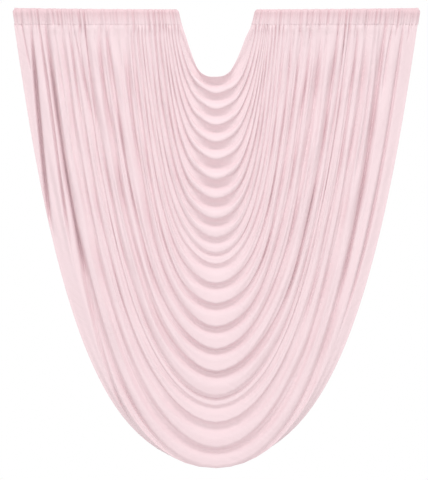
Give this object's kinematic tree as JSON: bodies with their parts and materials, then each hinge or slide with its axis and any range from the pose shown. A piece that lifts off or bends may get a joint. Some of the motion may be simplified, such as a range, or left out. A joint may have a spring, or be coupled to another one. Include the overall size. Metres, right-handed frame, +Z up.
{
  "type": "swag curtain panel",
  "caption": "Swag curtain panel in soft knit cloth, gathered on a rod pocket at each side and draped in cowl folds below an open U-shaped neck.",
  "frame": {"origin": "on the axis of the hanging rod, midway between the rod pockets", "axes": "+X along the rod to the viewer's right, +Z up, and the front of the cloth faces -Y"},
  "size_m": [2.702, 0.1704, 3.0402],
  "materials": {
    "panel_knit": "soft satin sheen",
    "left_pocket_knit": "soft satin sheen",
    "right_pocket_knit": "soft satin sheen"
  },
  "bodies": {
    "root": {"swag_panel": "panel_knit", "rod_pocket_left": "left_pocket_knit", "rod_pocket_right": "right_pocket_knit"}
  },
  "joints": []
}
